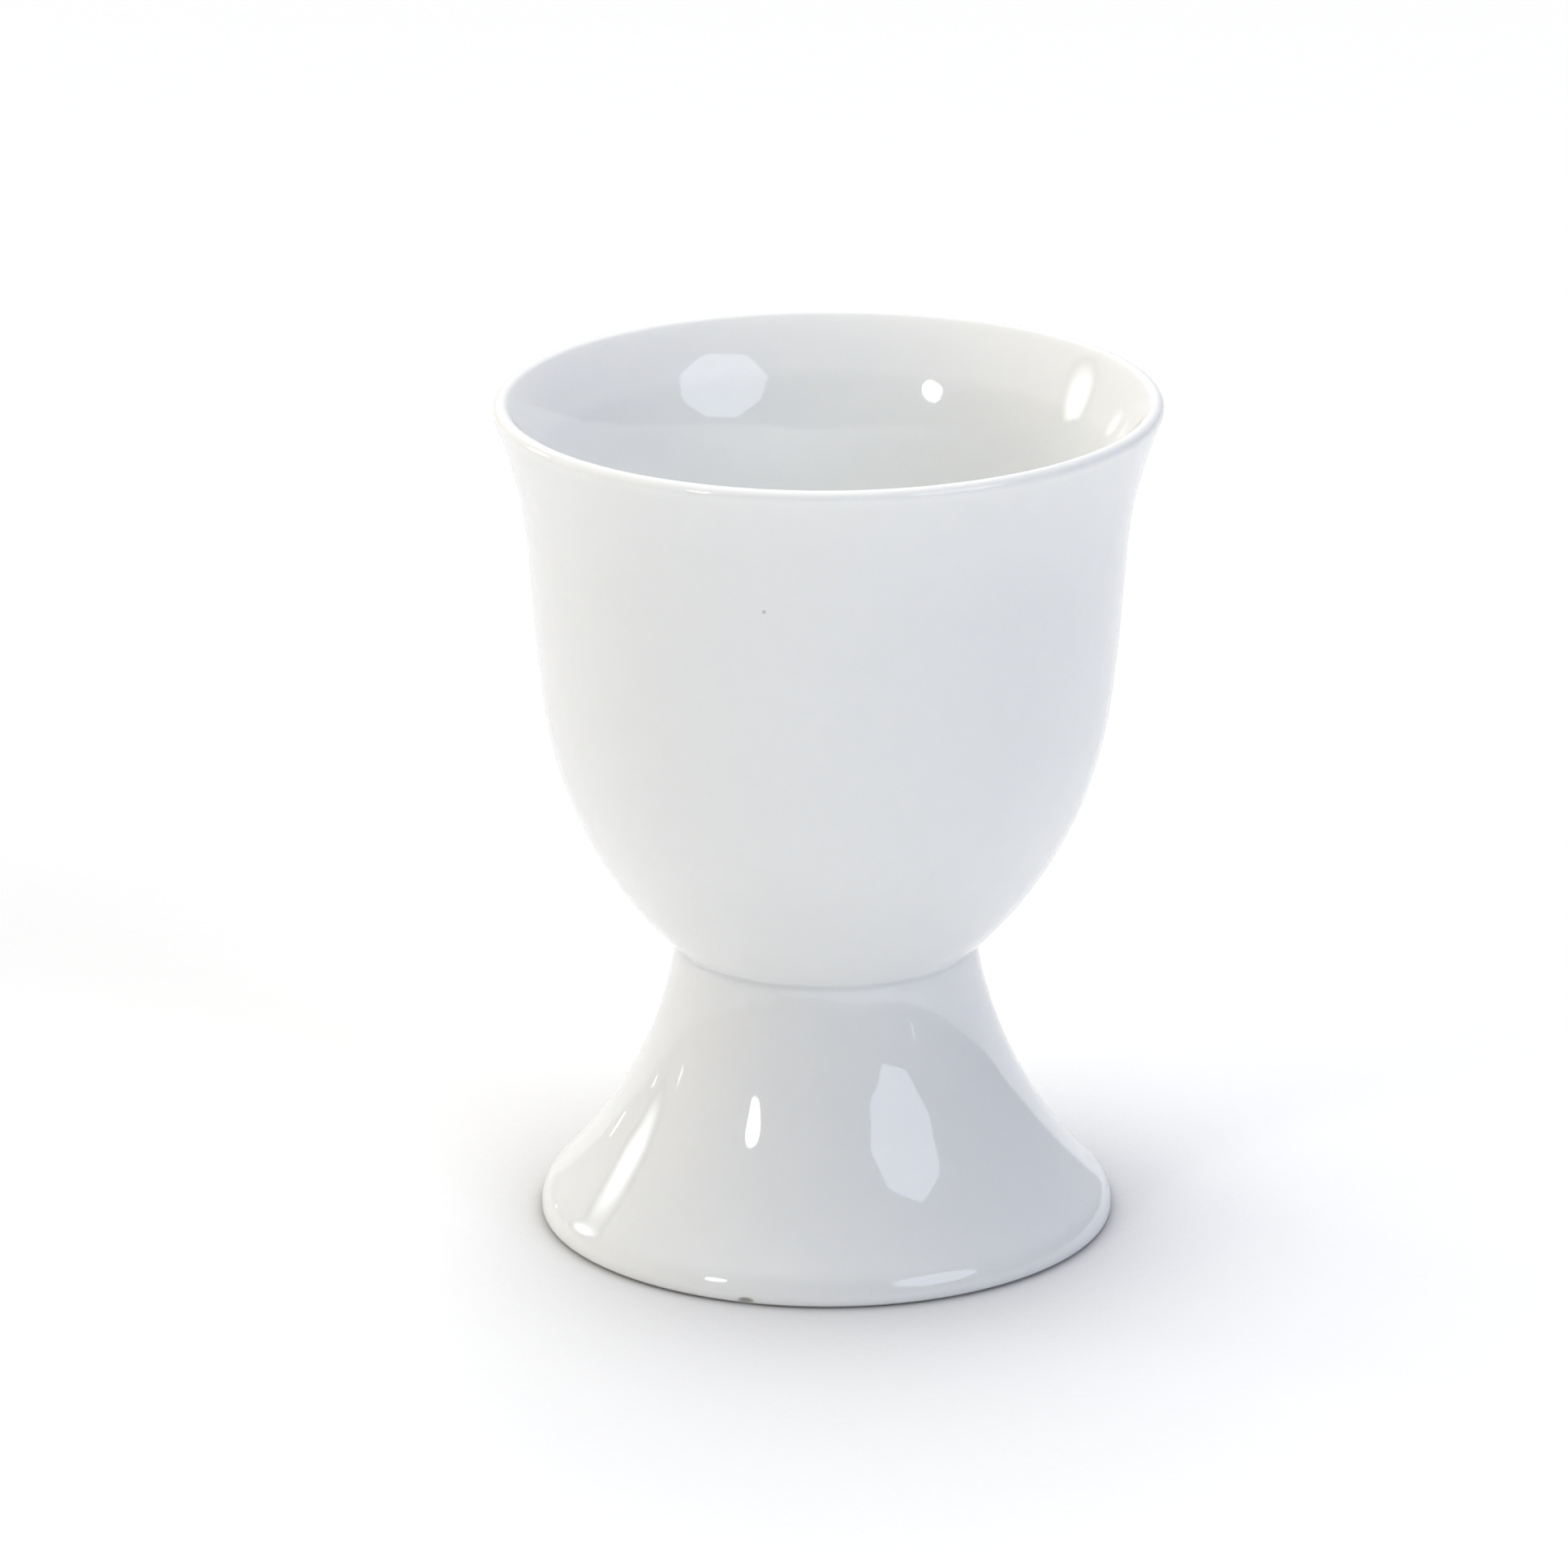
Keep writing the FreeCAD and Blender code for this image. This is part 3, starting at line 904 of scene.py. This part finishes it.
def glow_material(name, reach, fading, strength, colour):
    """A lamp's glow, even or fading over the given share of the way out to its edge."""
    nodes = Nodes(bpy.data.materials.new(name))
    shader = nodes.add("ShaderNodeEmission", Color=(*colour, 1.0), Strength=strength)
    if fading:
        where = nodes.add("ShaderNodeTexCoord").outputs["Object"]
        share = nodes.vector_maths("DIVIDE", where, Vector((reach[0], reach[1], 1.0)))
        off_centre = nodes.length(share.outputs[0])
        nodes.put(shader, "Strength", nodes.stretch(off_centre, 1.0, 1.0 - fading, 0.0, strength))
    return nodes.finished(shader)


def make_lamp(name, azimuth, elevation, wide, tall, sides, fading, strength, colour):
    """A flat glowing panel of a few or many sides that faces the cup. The camera doesn't see it."""
    away = direction(azimuth, elevation)
    reach = [LAMP_DISTANCE * math.tan(math.radians(angle)) for angle in (wide, tall)]
    corners = []
    for index in range(sides):
        angle = 2.0 * math.pi * (index + 0.5) / sides
        corners.append((reach[0] * math.cos(angle), reach[1] * math.sin(angle), 0.0))
    mesh = bpy.data.meshes.new(name)
    mesh.from_pydata(corners, [], [tuple(range(sides))])
    mesh.materials.append(glow_material(name, reach, fading, strength, colour))
    made = bpy.data.objects.new(name, mesh)
    turn = away.to_track_quat("Z", "Y").to_matrix().to_4x4()
    made.matrix_world = Matrix.Translation(LOOK_AT + away * LAMP_DISTANCE) @ turn
    made.visible_camera = False
    bpy.context.scene.collection.objects.link(made)


def soft_light(nodes, name, azimuth, elevation, sharpness, strength, tint):
    """One lobe of light: full from its direction, and less and less away from it."""
    looking = nodes.add("ShaderNodeNewGeometry").outputs["Incoming"]
    facing = nodes.vector_maths("DOT_PRODUCT", looking, direction(azimuth, elevation) * -0.5)
    share = nodes.maths("ADD", facing.outputs["Value"], 0.5)
    light = nodes.scaled(Vector(tint) * strength, nodes.maths("POWER", share, sharpness))
    light.node.label = name
    return light


def make_surroundings():
    """A pale studio: soft lobes of light for the cup, plain white for the camera."""
    world = bpy.data.worlds.new("studio")
    bpy.context.scene.world = world
    nodes = Nodes(world)
    total = Vector((0.0, 0.0, 0.0))
    for values in SOFT_LIGHTS:
        total = nodes.vector_maths("ADD", total, soft_light(nodes, *values)).outputs[0]
    light = nodes.add("ShaderNodeBackground", Color=total)
    backdrop = nodes.add(
        "ShaderNodeBackground", Color=(1.0, 1.0, 1.0, 1.0), Strength=BACKDROP_STRENGTH
    )
    seen = nodes.add("ShaderNodeLightPath").outputs["Is Camera Ray"]
    nodes.finished(nodes.choose(seen, light, backdrop), "ShaderNodeOutputWorld")


def camera_is_below(nodes):
    """1 where the camera is under the floor, else 0."""
    camera = nodes.add(
        "ShaderNodeVectorTransform",
        {"vector_type": "POINT", "convert_from": "CAMERA", "convert_to": "WORLD"},
        Vector=(0.0, 0.0, 0.0),
    )
    height = nodes.add("ShaderNodeSeparateXYZ", Vector=camera.outputs[0]).outputs["Z"]
    return nodes.maths("LESS_THAN", height, 0.0)


def paper_material():
    """White paper with a painted shadow round the foot, clear from below so that the cup's underside
    can be looked at.
    """
    nodes = Nodes(bpy.data.materials.new("studio_paper"))
    where = nodes.add("ShaderNodeTexCoord").outputs["Object"]
    fibre = nodes.stretch(nodes.noise(where, FIBRE_SCALE, 3.0), 0.3, 0.7, 0.98, 0.99)
    # painted shadow: the paper is darkened where the cup hides the sky from it
    open_sky = nodes.add(
        "ShaderNodeAmbientOcclusion", {"samples": CONTACT_SAMPLES}, Distance=CONTACT_REACH
    )
    hidden = nodes.maths("SUBTRACT", 1.0, open_sky.outputs["AO"])
    shade = nodes.maths("SUBTRACT", 1.0, nodes.maths("MULTIPLY", hidden, CONTACT_DEPTH))
    shade = nodes.maths("MAXIMUM", shade, DEEPEST_SHADE)
    paper = nodes.add("ShaderNodeBsdfDiffuse", Color=nodes.scaled(nodes.grey(fibre), shade))
    clear = nodes.add("ShaderNodeBsdfTransparent")
    return nodes.finished(nodes.choose(camera_is_below(nodes), paper, clear))


def make_floor():
    """The round sheet of pale paper the cup stands on."""
    rim = []
    for index in range(FLOOR_SIDES):
        turn = 2.0 * math.pi * index / FLOOR_SIDES
        rim.append((FLOOR_RADIUS * math.cos(turn), FLOOR_RADIUS * math.sin(turn), 0.0))
    mesh = bpy.data.meshes.new("studio_floor")
    mesh.from_pydata(rim, [], [tuple(range(FLOOR_SIDES))])
    mesh.materials.append(paper_material())
    made = bpy.data.objects.new("studio_floor", mesh)
    bpy.context.scene.collection.objects.link(made)


def make_camera():
    """The camera: a long lens, a little above the rim, looking down at the waist."""
    forward = Vector((
        math.sin(CAMERA_YAW) * math.cos(CAMERA_PITCH),
        math.cos(CAMERA_YAW) * math.cos(CAMERA_PITCH),
        -math.sin(CAMERA_PITCH),
    ))
    level = Vector((math.cos(CAMERA_YAW), -math.sin(CAMERA_YAW), 0.0))
    upright = level.cross(forward)
    right = math.cos(CAMERA_ROLL) * level + math.sin(CAMERA_ROLL) * upright
    up = right.cross(forward)
    data = bpy.data.cameras.new("camera")
    data.lens = CAMERA_LENS
    data.sensor_width = SENSOR_WIDTH
    data.clip_start = NEAREST_SEEN
    data.clip_end = FARTHEST_SEEN
    made = bpy.data.objects.new("camera", data)
    facing = Matrix((right, up, -forward)).transposed().to_4x4()
    made.matrix_world = Matrix.Translation(CAMERA_PLACE) @ facing
    bpy.context.scene.collection.objects.link(made)
    bpy.context.scene.camera = made


make_cup()
make_floor()
make_surroundings()
for lamp in LAMPS:
    make_lamp(*lamp)
make_camera()
bpy.context.scene.view_settings.view_transform = "Standard"
bpy.context.scene.view_settings.look = "None"
